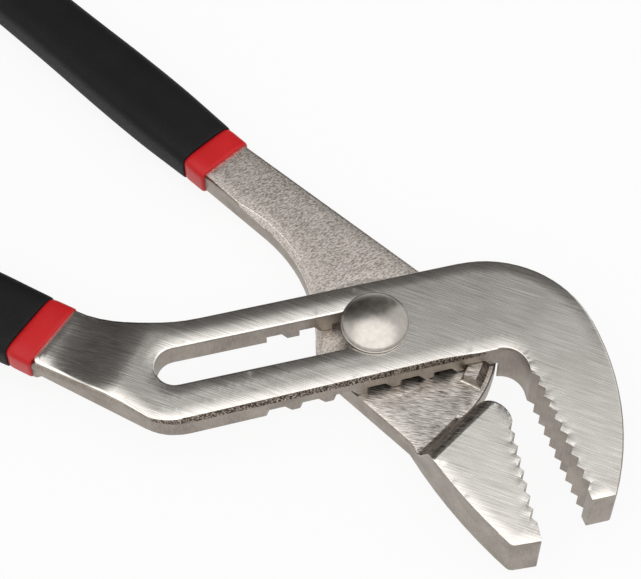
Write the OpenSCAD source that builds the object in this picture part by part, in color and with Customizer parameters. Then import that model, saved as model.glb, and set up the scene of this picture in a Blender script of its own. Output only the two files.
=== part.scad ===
// Groove-joint slip pliers lying on their back: jaws towards +X, handles towards -X, +Z up.
// The origin is where the pivot's axis meets the end of the bolt.
// Each half is drawn in its own flat frame, with the pivot at that frame's origin:
// the front half along its slot, the back half along its handle.

/* [Pivot] */
// Diameter of the bolt's plain shank
bolt_d = 8; // [7:0.1:9]
// Diameter of the bolt's round head
head_d = 13.8; // [12.5:0.1:16]
// Height of the straight rim below the dome
rim_h = 0.7; // [0.4:0.1:1.6]
// Height of the dome above the rim
dome_h = 2.3; // [1.5:0.1:4]
// Diameter of the threaded end that carries the nut
thread_d = 6.8; // [6:0.1:6.9]
// Width of the nut across its flats
nut_af = 12; // [10.5:0.1:14]
// Height of the nut
nut_h = 4; // [3:0.1:6]
// Length of the bolt that stands out of the nut
bolt_proud = 0.5; // [0.2:0.1:1.5]

/* [Plates and fits] */
// Thickness of each half where one lies on the other
plate_t = 6.1; // [5.5:0.1:7.5]
// Running gap between the faces of the two halves
face_gap = 0.15; // [0.1:0.01:0.3]
// Gap under the bolt's head and over the nut
seat_gap = 0.1; // [0.05:0.01:0.2]
// Radial clearance of the shank in the back half
bore_clear = 0.06; // [0.02:0.01:0.1]
// Clearance on each side of the shank in the slot
slot_clear = 0.08; // [0.02:0.01:0.1]
// Clearance of the tongue in a groove, on each side and at the top
groove_clear = 0.2; // [0.1:0.05:0.3]
// Gap between the grips' layers and round the tang
layer_gap = 0.1; // [0.05:0.01:0.2]

/* [Positions] */
// Number of grooves, one for each position of the pivot
positions = 7; // [5:1:8]
// Distance from one position to the next
pitch = 6.8; // [6.6:0.1:7.6]
// Angle of the slot to the length of the tool
slot_angle = 48.6; // [46:0.1:51]
// Angle of the back half's handle to the length of the tool, as shown
rest_angle = -8.7; // [-12:0.1:-4]

/* [Tongue and grooves] */
// Radius of the tongue's inner, upright wall about the pivot
tongue_r = 20; // [18.5:0.1:20.5]
// Width of the tongue's flat top
tongue_w = 2.6; // [2:0.1:2.8]
// Height of the tongue above the bearing pad
tongue_h = 2.1; // [1.5:0.1:2.5]
// Run of the tongue's slanted outer wall
flank_run = 1.2; // [0.8:0.1:1.4]
// Angle from the back half's length to the tongue's near end
tongue_from = 16; // [12:1:20]
// Angle that the tongue covers
tongue_sweep = 40; // [25:1:42]
// Angle that each groove covers to either side of the slot
groove_half_sweep = 52; // [48:1:58]

/* [Front half] */
// Width of the bar above the slot
upper_bar_w = 5.7; // [4.5:0.1:7]
// Width of the bar below the slot, at its handle end
lower_bar_w = 8.3; // [7.5:0.1:10]
// Width of the bar below the slot, at its jaw end
lower_bar_jaw_w = 7.3; // [6.5:0.1:8]
// Angle by which the handle turns up from the slot's line
handle_turn = 41; // [38:0.5:44]
// Width of the front half's handle where it leaves the slot
front_root_w = 15.4; // [15:0.1:16]
// Radius in the crook between the upper bar and the handle
crook_r = 36; // [28:1:36]
// Run of the sloping edge along the front half's lower side
edge_run = 0.7; // [0.5:0.1:1.2]
// Depth of that sloping edge
edge_depth = 1.2; // [0.5:0.1:2]
// Length of flat back face beyond the slot's end, over which the other half swings
swing_len = 24.2; // [24:0.1:25]

/* [Upper jaw] */
// Reach of the jaw's back beyond the pivot, along the slot
jaw_reach = 43.5; // [41:0.5:46]
// Drop from the slot's line to the place of that reach
jaw_reach_drop = 19; // [16:0.5:22]
// Radius of the jaw's long back
jaw_back_r = 56; // [48:1:70]
// Radius of the corner above the jaw
jaw_corner_r = 23; // [18:0.5:25]
// Drop from the slot's line to the jaw's flat end
jaw_drop = 47.2; // [46:0.1:50]
// Distance along the slot from the pivot to the first tooth
bite_u = 27.4; // [27:0.1:29]
// Drop from the slot's line to the first tooth
bite_drop = 17.7; // [17:0.1:18.5]
// Lean of the row of teeth
bite_lean = 6.8; // [5:0.1:9]
// Number of teeth on the upper jaw
upper_teeth = 10; // [8:1:10]
// Radius in the throat of the mouth
throat_r = 5; // [3:0.5:6]
// Gap between the neck's round edge and the thick part of the jaw
recess_gap = 0.4; // [0.3:0.05:0.8]

/* [Back half] */
// Radius of the neck's round edge about the pivot
neck_r = 25; // [24.7:0.1:25.6]
// Radius of the neck's lower side about the pivot
boss_r = 12; // [11:0.1:12.4]
// Depth of the neck's lower side below the pivot, at its round edge
neck_low = 12.2; // [12:0.05:12.3]
// Distance of the handle's middle from the pivot, square to the handle
back_offset = 9.6; // [9:0.1:10.4]
// Height of the neck's upper side above the pivot
neck_top = 18.4; // [17:0.1:19.5]
// Radius in the hollow between the neck's lower side and the handle
hollow_r = 35; // [20:1:45]
// Run of the sloping edge along that hollow
hollow_edge_run = 1.2; // [0.4:0.1:1.6]
// Depth of that sloping edge
hollow_edge_depth = 1.2; // [0.8:0.1:2]
// Radius of the raised bearing pad round the pivot
pad_r = 14.2; // [13:0.1:16]
// Height of the bearing pad above the rest of the neck
pad_h = 0.25; // [0.1:0.05:0.4]
// Distance from the pivot to the foot of the jaw's shoulder
shoulder_p = 24.3; // [24:0.1:26]
// Run of the shoulder's slope
shoulder_run = 2.9; // [2:0.1:3.5]
// Radius of the shoulder's round top
shoulder_top_r = 3; // [1.5:0.1:4]
// Radius of the hollow at the shoulder's foot
shoulder_foot_r = 1; // [0.4:0.1:1.1]

/* [Lower jaw] */
// Distance along the handle's line from the pivot to the first tooth
lower_bite_p = 34; // [33:0.1:35]
// Height of the first tooth above the pivot
lower_bite_q = 2.9; // [2.4:0.1:3.2]
// Fall of the row of teeth from the handle's line
lower_bite_fall = 36.2; // [34:0.1:38]
// Length of the jaw's face from the first tooth to its end
lower_face_len = 26.2; // [25:0.1:28]
// Number of teeth on the lower jaw
lower_teeth = 8; // [6:1:9]
// Radius of the round crest above the first tooth
crest_r = 5.5; // [4.5:0.1:6]
// Radius of the jaw's long belly
belly_r = 110; // [90:1:140]
// Distance along the handle's line to the lowest place of the belly
belly_p = 54; // [50:0.5:56]
// Drop from the pivot to the lowest place of the belly
belly_drop = 17.2; // [16.6:0.1:18]

/* [Teeth] */
// Distance from one tooth to the next
tooth_pitch = 2.7; // [2.3:0.05:2.8]
// Depth of the valleys between teeth
tooth_depth = 1.15; // [0.8:0.05:1.4]
// Depth of the teeth's tips below the jaw's plain face
tooth_tip = 0.1; // [0.05:0.05:0.3]
// Length of plain face before the first valley
tooth_from = 0.4; // [0.2:0.1:1]

/* [Handles] */
// Width of the front half's handle where its grip begins
front_tang_w = 14.8; // [14:0.1:15]
// Width of the back half's handle where its grip begins
back_tang_w = 11.6; // [10.8:0.1:12.6]
// Width of the tang inside the grip
core_w = 9.6; // [8:0.1:10.4]
// Distance from the slot's end to the front half's grip
front_bare_len = 26; // [25.5:0.5:32]
// Distance from the pivot to the back half's grip
back_bare_len = 52.8; // [50:0.1:56]
// Distance from the slot's end to the set in the front half's handle
front_set_from = 17; // [15:0.5:18]
// Length of handle over which it is set
set_len = 8.5; // [6:0.5:8.5]
// Amount by which the front half's handle is set towards the back half
set_drop = 2.4; // [1.5:0.1:3]

/* [Grips] */
// Length of a grip from its collar to its end
grip_len = 141; // [136:1:150]
// Length of the collar that shows in front of the sleeve
collar_len = 5.6; // [4:0.1:8]
// Width of the collar
collar_w = 13; // [12.6:0.1:13.4]
// Thickness of the collar
collar_t = 8.2; // [8:0.1:9]
// Widest part of the sleeve
sleeve_w = 14.6; // [14.4:0.1:15.6]
// Thickest part of the sleeve
sleeve_t = 10.4; // [10.2:0.1:12]
// Thickness of the sleeve's closed end
sleeve_end_wall = 5; // [3:0.5:8]
// Length of the liner beyond the tang's end
liner_end_len = 14; // [8:1:30]
// Extra width of the front half's grip at its mouth
front_grip_extra = 2; // [2:0.1:3]
// Length over which that extra width runs out
spread_len = 60; // [40:1:80]
// Slant of the mouth of the front half's grip
front_mouth_lean = 7; // [0:0.5:8]
// Slant of the mouth of the back half's grip
back_mouth_lean = 3.5; // [0:0.5:8]

/* [Hidden] */

// Length by which a cut runs past the solid that it cuts
overrun = 1;
// Width and length of a region that is larger than the tool
beyond = 400;
// Depth of the nut's corner chamfer as a share of its height
nut_chamfer_share = 0.18;
// Squareness of a grip's section
grip_power = 3.2;
// Number of points round a grip's section
grip_sides = 36;
// Places along the collar, with its width and thickness there
collar_shares = [[0, 0.955, 0.93], [0.11, 1, 1], [1, 1, 1]];
// Places along the sleeve, with its width and thickness there
sleeve_shares = [
  [0, 0.915, 0.88], [0.012, 0.93, 0.9], [0.045, 0.945, 0.93], [0.085, 0.99, 0.98], [0.14, 1, 1],
  [0.22, 0.99, 1], [0.3, 0.94, 0.98], [0.4, 0.925, 0.97], [0.6, 0.94, 0.98], [0.8, 0.985, 1],
  [0.92, 0.99, 1], [0.965, 0.95, 0.95], [0.99, 0.83, 0.83], [1, 0.68, 0.7]
];
// Steps in each of the shoulder's curves
shoulder_steps = 6;
// Share of the sleeve over which its mouth's slant runs out
lean_share = 0.2;
// Ends of the round cuts
$fn = 96;

// Levels, from the bolt's end upwards
nut_z = bolt_proud;
back_z = nut_z + nut_h + seat_gap;
pad_z = back_z + plate_t;
neck_z = pad_z - pad_h;
plate_z = pad_z + face_gap;
top_z = plate_z + plate_t;
head_z = top_z + seat_gap;
stack_t = top_z - back_z;
neck_t = neck_z - back_z;
front_tang_z = plate_z - set_drop;
front_grip_z = front_tang_z + plate_t / 2;
back_grip_z = back_z + neck_t / 2;

// Slot and the front half's bars
travel = pitch * (positions - 1);
slot_w = bolt_d + 2 * slot_clear;
bar_top = slot_w / 2 + upper_bar_w;
knee_r = slot_w / 2 + lower_bar_w;
bar_bottom = slot_w / 2 + lower_bar_jaw_w;
front_inner = front_root_w - knee_r;
front_axis = front_tang_w / 2 - front_inner;
recess_r = neck_r + recess_gap;
groove_h = tongue_h + groove_clear - face_gap;
rib_h = tongue_h + pad_h;

// Upper jaw: centres of its long back and of its corner, which touches the back and the upper bar
back_c = [jaw_reach - jaw_back_r, -jaw_reach_drop];
corner_v = bar_top - jaw_corner_r;
corner_c = [back_c.x + sqrt(pow(jaw_back_r - jaw_corner_r, 2) - pow(corner_v - back_c.y, 2)), corner_v];
corner_dir = (corner_c - back_c) / norm(corner_c - back_c);
corner_end = back_c + jaw_back_r * corner_dir;

// Knee: where the lower bar's edge and the handle's edge touch its circle, seen from the slot's end
bar_end = [travel + corner_c.x, -bar_bottom];
knee_bar = touch(bar_end, knee_r, -1);
front_lean_run = tan(front_mouth_lean) * front_tang_w / 2;
tang_end = [front_bare_len + front_lean_run, front_axis + front_tang_w / 2];
knee_tang = touch(tang_end, knee_r, 1);

// Back half: centre of the hollow between its neck and its handle
back_low = back_offset - back_tang_w / 2;
back_high = back_offset + back_tang_w / 2;
hollow_c = [-sqrt(pow(boss_r + hollow_r, 2) - pow(hollow_r - back_low, 2)), back_low - hollow_r];
hollow_end = hollow_c * boss_r / (boss_r + hollow_r);
belly_c = [belly_p, belly_r - belly_drop];
shoulder_a = atan2(top_z - neck_z, shoulder_run);
shoulder_top_c = [
  shoulder_p + shoulder_run + shoulder_top_r * tan(shoulder_a / 2), top_z - shoulder_top_r
];
shoulder_foot_c = [shoulder_p - shoulder_foot_r * tan(shoulder_a / 2), neck_z + shoulder_foot_r];
lower_bite = [lower_bite_p, lower_bite_q];
crest_c = lower_bite + crest_r * polar(-90 - lower_bite_fall);
lower_end = lower_bite + lower_face_len * polar(-lower_bite_fall);
lower_end_line = lower_end + beyond * polar(-90 - lower_bite_fall);

// Grips
sleeve_len = grip_len - collar_len;
liner_len = grip_len - sleeve_end_wall;
core_len = liner_len - liner_end_len;
inner_w = collar_w + 2 * layer_gap;
inner_t = collar_t + 2 * layer_gap;

steel = "#b9b4ac";
bright_steel = "#cfccc8";
red = "#c8262b";
black = "#1d1d1e";

function polar(a) = [cos(a), sin(a)];

// Points of an arc, from its first angle on
function arc(c, r, from, sweep, steps) = [for (i = [0 : steps]) c + r * polar(from + sweep * i / steps)];

// Place where a line from p touches the circle of radius r about the origin
function touch(p, r, side) = r * polar(atan2(p.y, p.x) + side * acos(r / norm(p)));

function section(w, t) = [
  for (i = [0 : grip_sides - 1])
    let (c = cos(360 * i / grip_sides), s = sin(360 * i / grip_sides))
    [w / 2 * sign(c) * pow(abs(c), 2 / grip_power), t / 2 * sign(s) * pow(abs(s), 2 / grip_power)]
];

// Extra width of a grip at a place along it
function spread(x, extra) = extra * max(0, 1 - x / spread_len);

// Solid through rounded sections, each [place along X, width, thickness, lean along Y]
module loft(stations) {
  rings = len(stations);
  points = [for (st = stations) for (p = section(st[1], st[2])) [st[0] + p.x * st[3], p.x, p.y]];
  sides = [
    for (r = [0 : rings - 2]) for (i = [0 : grip_sides - 1])
      let (a = r * grip_sides + i, b = r * grip_sides + (i + 1) % grip_sides)
      each [[a, a + grip_sides, b], [b, a + grip_sides, b + grip_sides]]
  ];
  first = [for (i = [0 : grip_sides - 1]) i];
  last = [for (i = [grip_sides - 1 : -1 : 0]) (rings - 1) * grip_sides + i];
  polyhedron(points, concat(sides, [first, last]));
}

// Frames of the two halves and of their handles
module slot_frame() {
  rotate(slot_angle) children();
}

module back_frame() {
  rotate(rest_angle) children();
}

module front_handle_frame() {
  translate([-travel, 0]) rotate(180 - handle_turn) children();
}

module front_grip_frame() {
  slot_frame() front_handle_frame() translate([front_bare_len, front_axis, front_grip_z]) children();
}

module back_grip_frame() {
  back_frame() rotate(180) translate([back_bare_len, -back_offset, back_grip_z]) children();
}

// Side view [x, z] of a half, drawn out over the whole width
module side_profile(points) {
  rotate([90, 0, 0]) linear_extrude(beyond, center = true) polygon(points);
}

// Filling of an inside corner, hollowed to a radius
module corner_fill(points, centre, r) {
  difference() {
    polygon(points);
    translate(centre) circle(r);
  }
}

// Tang inside a grip, along X from the grip's beginning
module core_plan(gap) {
  w = core_w + 2 * gap;
  len_to_round = core_len - core_w / 2;
  translate([-overrun, -w / 2]) square([len_to_round + overrun, w]);
  translate([len_to_round, 0]) circle(w / 2);
}

// Row of V-shaped valleys along +X, cut up into +Y
module teeth_cut(count) {
  first = [tooth_from + tooth_pitch / 2, tooth_depth];
  last = first + [(count - 1) * tooth_pitch, 0];
  out = (tooth_depth + overrun) * [tooth_pitch / 2 / (tooth_depth - tooth_tip), 1];
  tips = [
    for (i = [1 : count - 1])
      each [[tooth_from + i * tooth_pitch, tooth_tip], first + [i * tooth_pitch, 0]]
  ];
  polygon(concat([first - out, first], tips, [last + [out.x, -out.y]]));
}

// Arc with one upright inner wall and one slanted outer wall, about the Z axis
module arc_rib(r, w, run, h, from, sweep) {
  rotate(from) rotate_extrude(angle = sweep)
    polygon([[r, -overrun], [r, h], [r + w, h], [r + w + run, 0], [r + w + run, -overrun]]);
}

// Front half seen from above, in the slot's frame
module front_tang_plan() {
  polygon([
    [0, 0], [0, -front_inner], [front_bare_len - front_lean_run, -front_inner], tang_end, knee_tang
  ]);
  translate([front_bare_len, front_axis]) core_plan(0);
}

module crook_plan() {
  half_turn = handle_turn / 2;
  corner = [-travel - (bar_top * cos(handle_turn) - front_inner) / sin(handle_turn), bar_top];
  run = crook_r * tan(half_turn);
  start = corner + [run, 0];
  end = corner + run * polar(180 - handle_turn);
  corner_fill([start, end, [-travel, 0]], start + [0, crook_r], crook_r);
}

module upper_jaw_plan() {
  translate(corner_c) circle(jaw_corner_r);
  intersection() {
    translate(back_c) circle(jaw_back_r);
    polygon([[0, -jaw_drop], [jaw_reach, -jaw_drop], [jaw_reach, corner_end.y], corner_end, [0, corner_v]]);
  }
}

module mouth_plan() {
  start = [bite_u, -bite_drop];
  side = (beyond / 2) * polar(bite_lean - 90);
  offset(r = throat_r) offset(delta = -throat_r)
    polygon([[-travel, -bar_bottom], [bite_u, -bar_bottom], start, start + side, [-travel, -beyond / 2]]);
}

module front_plan() {
  difference() {
    union() {
      translate([-travel, 0]) polygon([[0, 0], knee_bar, bar_end, [bar_end.x, bar_top], [0, bar_top]]);
      translate([-travel, 0]) intersection() {
        circle(knee_r);
        translate([-knee_r, -knee_r]) square([2 * knee_r, knee_r]);
      }
      front_handle_frame() front_tang_plan();
      crook_plan();
      difference() {
        upper_jaw_plan();
        mouth_plan();
      }
    }
    circle(slot_w / 2);
    translate([-travel, -slot_w / 2]) square([travel, slot_w]);
    translate([-travel, 0]) circle(slot_w / 2);
    translate([bite_u, -bite_drop]) rotate(bite_lean - 90) teeth_cut(upper_teeth);
  }
}

// Sloping cut along a line of plan, whose solid lies on its left, begun a knee's radius early
module sloping_cut(from, to) {
  run = to - from;
  translate(from) rotate(atan2(run.y, run.x)) translate([-knee_r, 0, top_z]) rotate([90, 0, 90])
    linear_extrude(norm(run) + knee_r) polygon([
      [-overrun, overrun], [edge_run + overrun, overrun], [edge_run, 0],
      [0, -edge_depth], [-overrun, -edge_depth]
    ]);
}

// Sloping edges along the lower bar and the handle, which run out on the knee
module sloping_edges() {
  translate([-travel, 0]) sloping_cut(knee_bar, bar_end);
  front_handle_frame() mirror([0, 1]) sloping_cut([knee_tang.x, -knee_tang.y], [tang_end.x, -tang_end.y]);
}

module front_half() {
  set_to = front_set_from + set_len;
  color(steel) slot_frame() difference() {
    union() {
      intersection() {
        translate([0, 0, front_tang_z]) linear_extrude(top_z - front_tang_z) front_plan();
        front_handle_frame() side_profile([
          [-beyond, plate_z], [swing_len, plate_z], [front_bare_len, front_tang_z], [beyond, front_tang_z],
          [beyond, front_tang_z + plate_t], [set_to, front_tang_z + plate_t], [front_set_from, top_z],
          [-beyond, top_z]
        ]);
      }
      translate([0, 0, back_z]) linear_extrude(stack_t) difference() {
        intersection() {
          front_plan();
          translate([0, -beyond / 2]) square(beyond);
        }
        circle(recess_r);
      }
    }
    for (i = [0 : positions - 1])
      translate([-i * pitch, 0, plate_z])
        arc_rib(
          tongue_r - groove_clear, tongue_w + 2 * groove_clear, flank_run, groove_h,
          -groove_half_sweep, 2 * groove_half_sweep
        );
    sloping_edges();
  }
}

// Back half seen from above, in its handle's frame
module lower_jaw_plan() {
  difference() {
    intersection() {
      translate(belly_c) circle(belly_r);
      union() {
        translate(crest_c) circle(crest_r);
        polygon([[boss_r, crest_c.y], crest_c, lower_bite, lower_end, lower_end_line]);
      }
    }
    translate(lower_bite) rotate(-lower_bite_fall) mirror([0, 1]) teeth_cut(lower_teeth);
  }
}

module back_tang_plan() {
  lean_run = tan(back_mouth_lean) * back_tang_w / 2;
  polygon([
    [-back_bare_len - lean_run, back_low], [-back_bare_len + lean_run, back_high],
    [0, neck_top], [0, back_low]
  ]);
  rotate(180) translate([back_bare_len, -back_offset]) core_plan(0);
}

module back_plan() {
  circle(boss_r);
  intersection() {
    circle(neck_r);
    polygon([[0, -boss_r], [neck_r, -neck_low], [neck_r, neck_top], [0, neck_top]]);
  }
  back_tang_plan();
  corner_fill([[hollow_c.x, back_low], [0, back_low], [0, 0], hollow_end], hollow_c, hollow_r);
  lower_jaw_plan();
}

// Sloping edge along the hollow, running out along the handle
module hollow_edge() {
  h = hollow_edge_depth + pad_h + overrun;
  translate([hollow_c.x, hollow_c.y, neck_z - hollow_edge_depth])
    cylinder(h, hollow_r, hollow_r + h * hollow_edge_run / hollow_edge_depth);
}

module back_half() {
  color(steel) back_frame() difference() {
    union() {
      translate([0, 0, back_z]) linear_extrude(neck_t) back_plan();
      intersection() {
        translate([0, 0, back_z]) linear_extrude(stack_t) lower_jaw_plan();
        side_profile(concat(
          [[boss_r, back_z], [beyond, back_z], [beyond, top_z]],
          arc(shoulder_top_c, shoulder_top_r, 90, shoulder_a, shoulder_steps),
          arc(shoulder_foot_c, shoulder_foot_r, shoulder_a - 90, -shoulder_a, shoulder_steps),
          [[boss_r, neck_z - overrun]]
        ));
      }
      translate([0, 0, back_z]) linear_extrude(plate_t) intersection() {
        back_plan();
        circle(pad_r);
      }
      translate([0, 0, neck_z]) arc_rib(tongue_r, tongue_w, flank_run, rib_h, tongue_from, tongue_sweep);
    }
    hollow_edge();
    translate([0, 0, back_z - overrun]) cylinder(stack_t + 2 * overrun, r = bolt_d / 2 + bore_clear);
  }
}

// Bolt with a domed head, a plain shank for slot and bore, and a threaded end
module pivot_bolt() {
  dome_r = (pow(head_d / 2, 2) + pow(dome_h, 2)) / (2 * dome_h);
  dome_z = head_z + rim_h;
  color(bright_steel) {
    cylinder(back_z, d = thread_d);
    translate([0, 0, back_z - seat_gap]) cylinder(head_z - back_z + seat_gap, d = bolt_d);
    translate([0, 0, head_z]) cylinder(rim_h, d = head_d);
    intersection() {
      translate([0, 0, dome_z + dome_h - dome_r]) sphere(dome_r);
      translate([0, 0, dome_z]) cylinder(dome_h, d = head_d);
    }
  }
}

// Hexagon nut with its corners turned off at both ends
module pivot_nut() {
  across_corners = nut_af / cos(30);
  chamfer = nut_h * nut_chamfer_share;
  color(bright_steel) translate([0, 0, nut_z]) difference() {
    intersection() {
      rotate(30) cylinder(nut_h, d = across_corners, $fn = 6);
      rotate_extrude() polygon([
        [0, 0], [nut_af / 2, 0], [across_corners / 2, chamfer], [across_corners / 2, nut_h - chamfer],
        [nut_af / 2, nut_h], [0, nut_h]
      ]);
    }
    translate([0, 0, -overrun]) cylinder(nut_h + 2 * overrun, r = thread_d / 2 + bore_clear);
  }
}

// Inner layer of a grip, which shows as a collar in front of the sleeve
module grip_liner(core_t, extra, lean) {
  color(red) difference() {
    loft(concat(
      [
        for (s = collar_shares)
          let (x = s[0] * collar_len)
          [x, s[1] * (collar_w + spread(x, extra)), s[2] * collar_t, tan(lean)]
      ],
      [[spread_len, collar_w, collar_t, 0], [liner_len, collar_w, collar_t, 0]]
    ));
    linear_extrude(core_t + 2 * layer_gap, center = true) core_plan(layer_gap);
  }
}

// Outer layer of a grip, closed at its end
module grip_sleeve(extra, lean) {
  color(black) difference() {
    loft([
      for (s = sleeve_shares)
        let (x = collar_len + s[0] * sleeve_len)
        [x, s[1] * sleeve_w + spread(x, extra), s[2] * sleeve_t, tan(lean) * max(0, 1 - s[0] / lean_share)]
    ]);
    loft([
      [0, inner_w + extra, inner_t, tan(lean)], [spread_len, inner_w, inner_t, 0],
      [liner_len + layer_gap, inner_w, inner_t, 0]
    ]);
  }
}

module front_grip_liner() {
  front_grip_frame() grip_liner(plate_t, front_grip_extra, front_mouth_lean);
}

module front_grip_sleeve() {
  front_grip_frame() grip_sleeve(front_grip_extra, front_mouth_lean);
}

module back_grip_liner() {
  back_grip_frame() grip_liner(neck_t, 0, back_mouth_lean);
}

module back_grip_sleeve() {
  back_grip_frame() grip_sleeve(0, back_mouth_lean);
}

front_half();
back_half();
pivot_bolt();
pivot_nut();
front_grip_liner();
front_grip_sleeve();
back_grip_liner();
back_grip_sleeve();
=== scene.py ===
"""Groove-joint slip pliers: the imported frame, rounded, dressed and lit in a plain studio."""
import logging
import math
from collections.abc import Callable, Sequence
from dataclasses import dataclass, field
from enum import Enum, IntEnum
from typing import Any

import bmesh
import bpy
from bmesh.types import BMEdge, BMesh, BMFace, BMLayerItem, BMVert
from mathutils import Matrix, Vector, kdtree
from mathutils.geometry import intersect_point_line


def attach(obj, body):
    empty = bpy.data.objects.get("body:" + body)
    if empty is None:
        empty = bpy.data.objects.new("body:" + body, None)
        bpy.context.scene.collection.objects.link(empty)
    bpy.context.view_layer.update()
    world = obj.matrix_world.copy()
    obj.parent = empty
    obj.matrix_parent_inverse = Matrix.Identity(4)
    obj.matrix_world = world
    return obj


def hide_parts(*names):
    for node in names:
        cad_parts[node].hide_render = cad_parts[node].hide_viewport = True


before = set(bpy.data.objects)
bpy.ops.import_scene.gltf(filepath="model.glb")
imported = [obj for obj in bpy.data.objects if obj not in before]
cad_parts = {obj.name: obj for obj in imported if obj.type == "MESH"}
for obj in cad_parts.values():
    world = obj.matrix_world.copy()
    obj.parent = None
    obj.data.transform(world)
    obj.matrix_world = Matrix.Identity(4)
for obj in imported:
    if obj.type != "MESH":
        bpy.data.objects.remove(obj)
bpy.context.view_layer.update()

LOG = logging.getLogger("slip_pliers")
MM = 0.001
# Angles of the frames that the two halves are drawn in, about the pivot
SLOT_ANGLE = 48.6
TONGUE_ANGLE = -8.7
# Levels from the bolt's end upwards, in millimetres
BACK_Z, NECK_Z, PAD_Z, PLATE_Z, TOP_Z, HEAD_Z = 4.6, 10.45, 10.7, 10.85, 16.95, 17.05
# Gap in millimetres up to which a node's loose corners are merged, and angle up to which faces are one
WELD_GAP = 0.07
FLAT_ANGLE = math.radians(0.3)
# How far a handle reaches into its grip's mouth, and the inset and length of the stub behind, in millimetres
STUB_REACH, STUB_INSET, STUB_LEN = 0.03, 1.7, 2.0
# Angle from which an edge is sharp
SHARP_ANGLE = math.radians(20)


class Body(str, Enum):
    """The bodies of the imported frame."""

    SLOTTED = "slotted_half"
    PIVOT = "pivot"
    TONGUE = "tongue_half"


class Zone(IntEnum):
    """Places of the finishes in a forged half's list of materials."""

    GROUND = 0
    FLANK = 1
    TRIM = 2
    BLASTED = 3
    RIBBED = 4


# ---------------------------------------------------------------- small tools


def linear(code: str) -> tuple[float, float, float, float]:
    """Turn an sRGB colour into linear light.

    Args:
        code: The colour as "#RRGGBB".

    Returns:
        Red, green, blue and an alpha of 1.
    """
    parts = [int(code[i:i + 2], 16) / 255 for i in (1, 3, 5)]
    r, g, b = (c / 12.92 if c <= 0.04045 else ((c + 0.055) / 1.055) ** 2.4 for c in parts)
    return r, g, b, 1.0


def add_node(tree: bpy.types.NodeTree, kind: str, inputs: dict[str | int, Any] | None = None,
             **settings: Any) -> bpy.types.Node:
    """Add a node to a tree.

    Args:
        tree: The node tree.
        kind: The node's type.
        inputs: Its inputs by name or number, each a socket to link or a constant.
        settings: Its own properties.

    Returns:
        The new node.
    """
    node = tree.nodes.new(kind)
    for key, value in settings.items():
        setattr(node, key, value)
    for key, value in (inputs or {}).items():
        if isinstance(value, bpy.types.NodeSocket):
            tree.links.new(value, node.inputs[key])
        else:
            node.inputs[key].default_value = value
    return node


def bare_material(name: str) -> tuple[bpy.types.Material, bpy.types.NodeTree]:
    """Make a material whose node tree is empty, and give both."""
    material = bpy.data.materials.new(name)
    material.use_nodes = True
    material.node_tree.nodes.clear()
    return material, material.node_tree


def merged_copy(node: str) -> BMesh:
    """Copy a node's mesh, with its loose triangles merged and its flat faces made whole.

    Args:
        node: The node's name.

    Returns:
        The closed mesh.
    """
    bm = bmesh.new()
    bm.from_mesh(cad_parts[node].data)
    bmesh.ops.remove_doubles(bm, verts=bm.verts, dist=WELD_GAP * MM)
    bmesh.ops.dissolve_limit(bm, angle_limit=FLAT_ANGLE, verts=bm.verts, edges=bm.edges)
    return bm


def with_rims(faces: Sequence[BMFace]) -> list[BMVert | BMEdge | BMFace]:
    """Give faces with their corners and edges, in an order that is the same each run."""
    verts = dict.fromkeys(v for f in faces for v in f.verts)
    edges = dict.fromkeys(e for f in faces for e in f.edges)
    return [*verts, *edges, *faces]


def split_along(bm: BMesh, place: Vector, normal: Vector) -> None:
    """Cut a whole mesh along a plane, and keep both sides.

    Args:
        bm: The mesh.
        place: A point of the plane, in metres.
        normal: The plane's normal.
    """
    geom = [*bm.verts, *bm.edges, *bm.faces]
    bmesh.ops.bisect_plane(bm, geom=geom, dist=1e-7, plane_co=place, plane_no=normal)


def cut_off(bm: BMesh, faces: Sequence[BMFace], place: Vector, normal: Vector) -> list[BMFace]:
    """Cut off what lies beyond a plane, and close the cut.

    Args:
        bm: The mesh.
        faces: The faces that the plane may cut.
        place: A point of the plane, in metres.
        normal: The side that goes.

    Returns:
        The faces that close the cut.
    """
    cut = bmesh.ops.bisect_plane(bm, geom=with_rims(faces), dist=1e-7, plane_co=place, plane_no=normal,
                                 clear_outer=True)
    edges = [e for e in cut["geom_cut"] if isinstance(e, BMEdge) and e.is_boundary]
    return bmesh.ops.holes_fill(bm, edges=edges)["faces"]


def rounded(bm: BMesh, radius_of: Callable[[BMEdge], float], segments: int) -> BMesh:
    """Round sharp edges, each by a radius of its own.

    Args:
        bm: The mesh, which is used up.
        radius_of: Gives the radius of a sharp edge in millimetres.
        segments: The number of steps across a rounded edge.

    Returns:
        The rounded mesh.
    """
    weight = bm.edges.layers.float.new("bevel_weight_edge")
    sharp = [e for e in bm.edges if e.calc_face_angle(0) > SHARP_ANGLE]
    radii = {e: radius_of(e) for e in sharp}
    widest = max(radii.values())
    for edge, radius in radii.items():
        edge[weight] = radius / widest
    mesh = bpy.data.meshes.new("rounding")
    bm.to_mesh(mesh)
    bm.free()
    holder = bpy.data.objects.new("rounding", mesh)
    bpy.context.collection.objects.link(holder)
    bevel = holder.modifiers.new("rounding", "BEVEL")
    bevel.width, bevel.segments, bevel.profile = widest * MM, segments, 0.5
    bevel.limit_method, bevel.use_clamp_overlap, bevel.material = "WEIGHT", False, -1
    bpy.context.view_layer.update()
    out = bmesh.new()
    out.from_mesh(holder.evaluated_get(bpy.context.evaluated_depsgraph_get()).to_mesh())
    bpy.data.objects.remove(holder)
    bpy.data.meshes.remove(mesh)
    return out


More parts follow.
